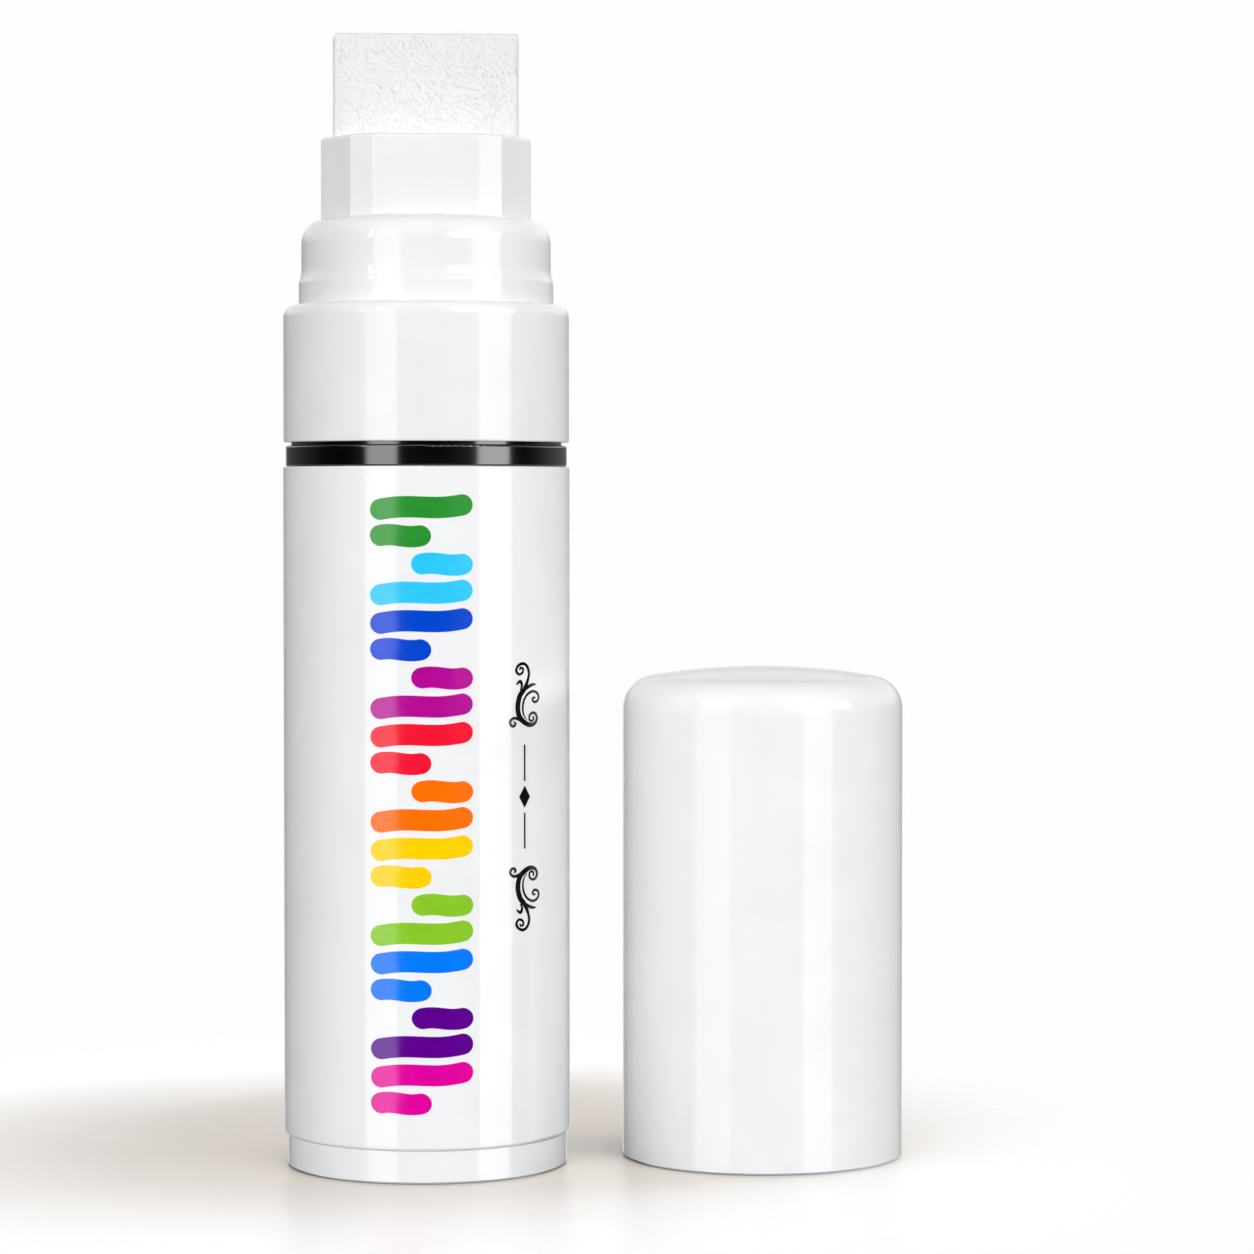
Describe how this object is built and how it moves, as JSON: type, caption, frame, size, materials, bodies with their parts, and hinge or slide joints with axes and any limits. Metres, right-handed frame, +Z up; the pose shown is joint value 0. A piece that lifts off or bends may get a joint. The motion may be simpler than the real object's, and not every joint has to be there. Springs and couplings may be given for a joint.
{
  "type": "liquid chalk marker",
  "caption": "Thick white chalk-ink marker with a wide felt nib on a sprung pump valve, a dark coupling ring and a pull-off cap standing beside it.",
  "frame": {"origin": "middle of the marker's foot, on the surface that it stands on", "axes": "+Z up along the marker towards the nib, -Y out of the nib's wide face, +X towards the cap"},
  "size_m": [0.0655, 0.0337, 0.1179],
  "materials": {
    "white_plastic": "glossy",
    "black_plastic": "glossy",
    "felt": "pressed fibre",
    "rubber": "matte",
    "plain_plastic": "satin",
    "steel_wire": "drawn wire",
    "ball_steel": "polished"
  },
  "bodies": {
    "marker": {"barrel": "white_plastic", "end_plug": "white_plastic", "plug_seal": "rubber", "coupling": "black_plastic", "coupling_seal": "rubber", "nib_holder": "white_plastic", "valve_housing": "plain_plastic", "valve_gasket": "rubber", "spring_cage": "plain_plastic", "valve_spring": "steel_wire"},
    "nib": {"nib": "felt", "nib_carrier": "plain_plastic", "valve_rod": "plain_plastic", "valve_seal": "rubber"},
    "ball": {"mixing_ball": "ball_steel"},
    "cap": {"cap_shell": "white_plastic", "cap_liner": "plain_plastic"}
  },
  "joints": [
    {"name": "nib_press", "type": "slide", "parent": "marker", "child": "nib", "axis": [0, 0, -1], "range_m": [0, 0.003], "stiffness_N_per_m": 800, "springref_m": -0.004, "deforming": ["valve_spring"]},
    {"name": "ball_roll", "type": "slide", "parent": "marker", "child": "ball", "axis": [0, 0, 1], "range_m": [0, 0.0615]},
    {"name": "cap_lift", "type": "slide", "parent": "marker", "child": "cap", "axis": [0, 0, 1], "range_m": [0, 0.12]}
  ]
}
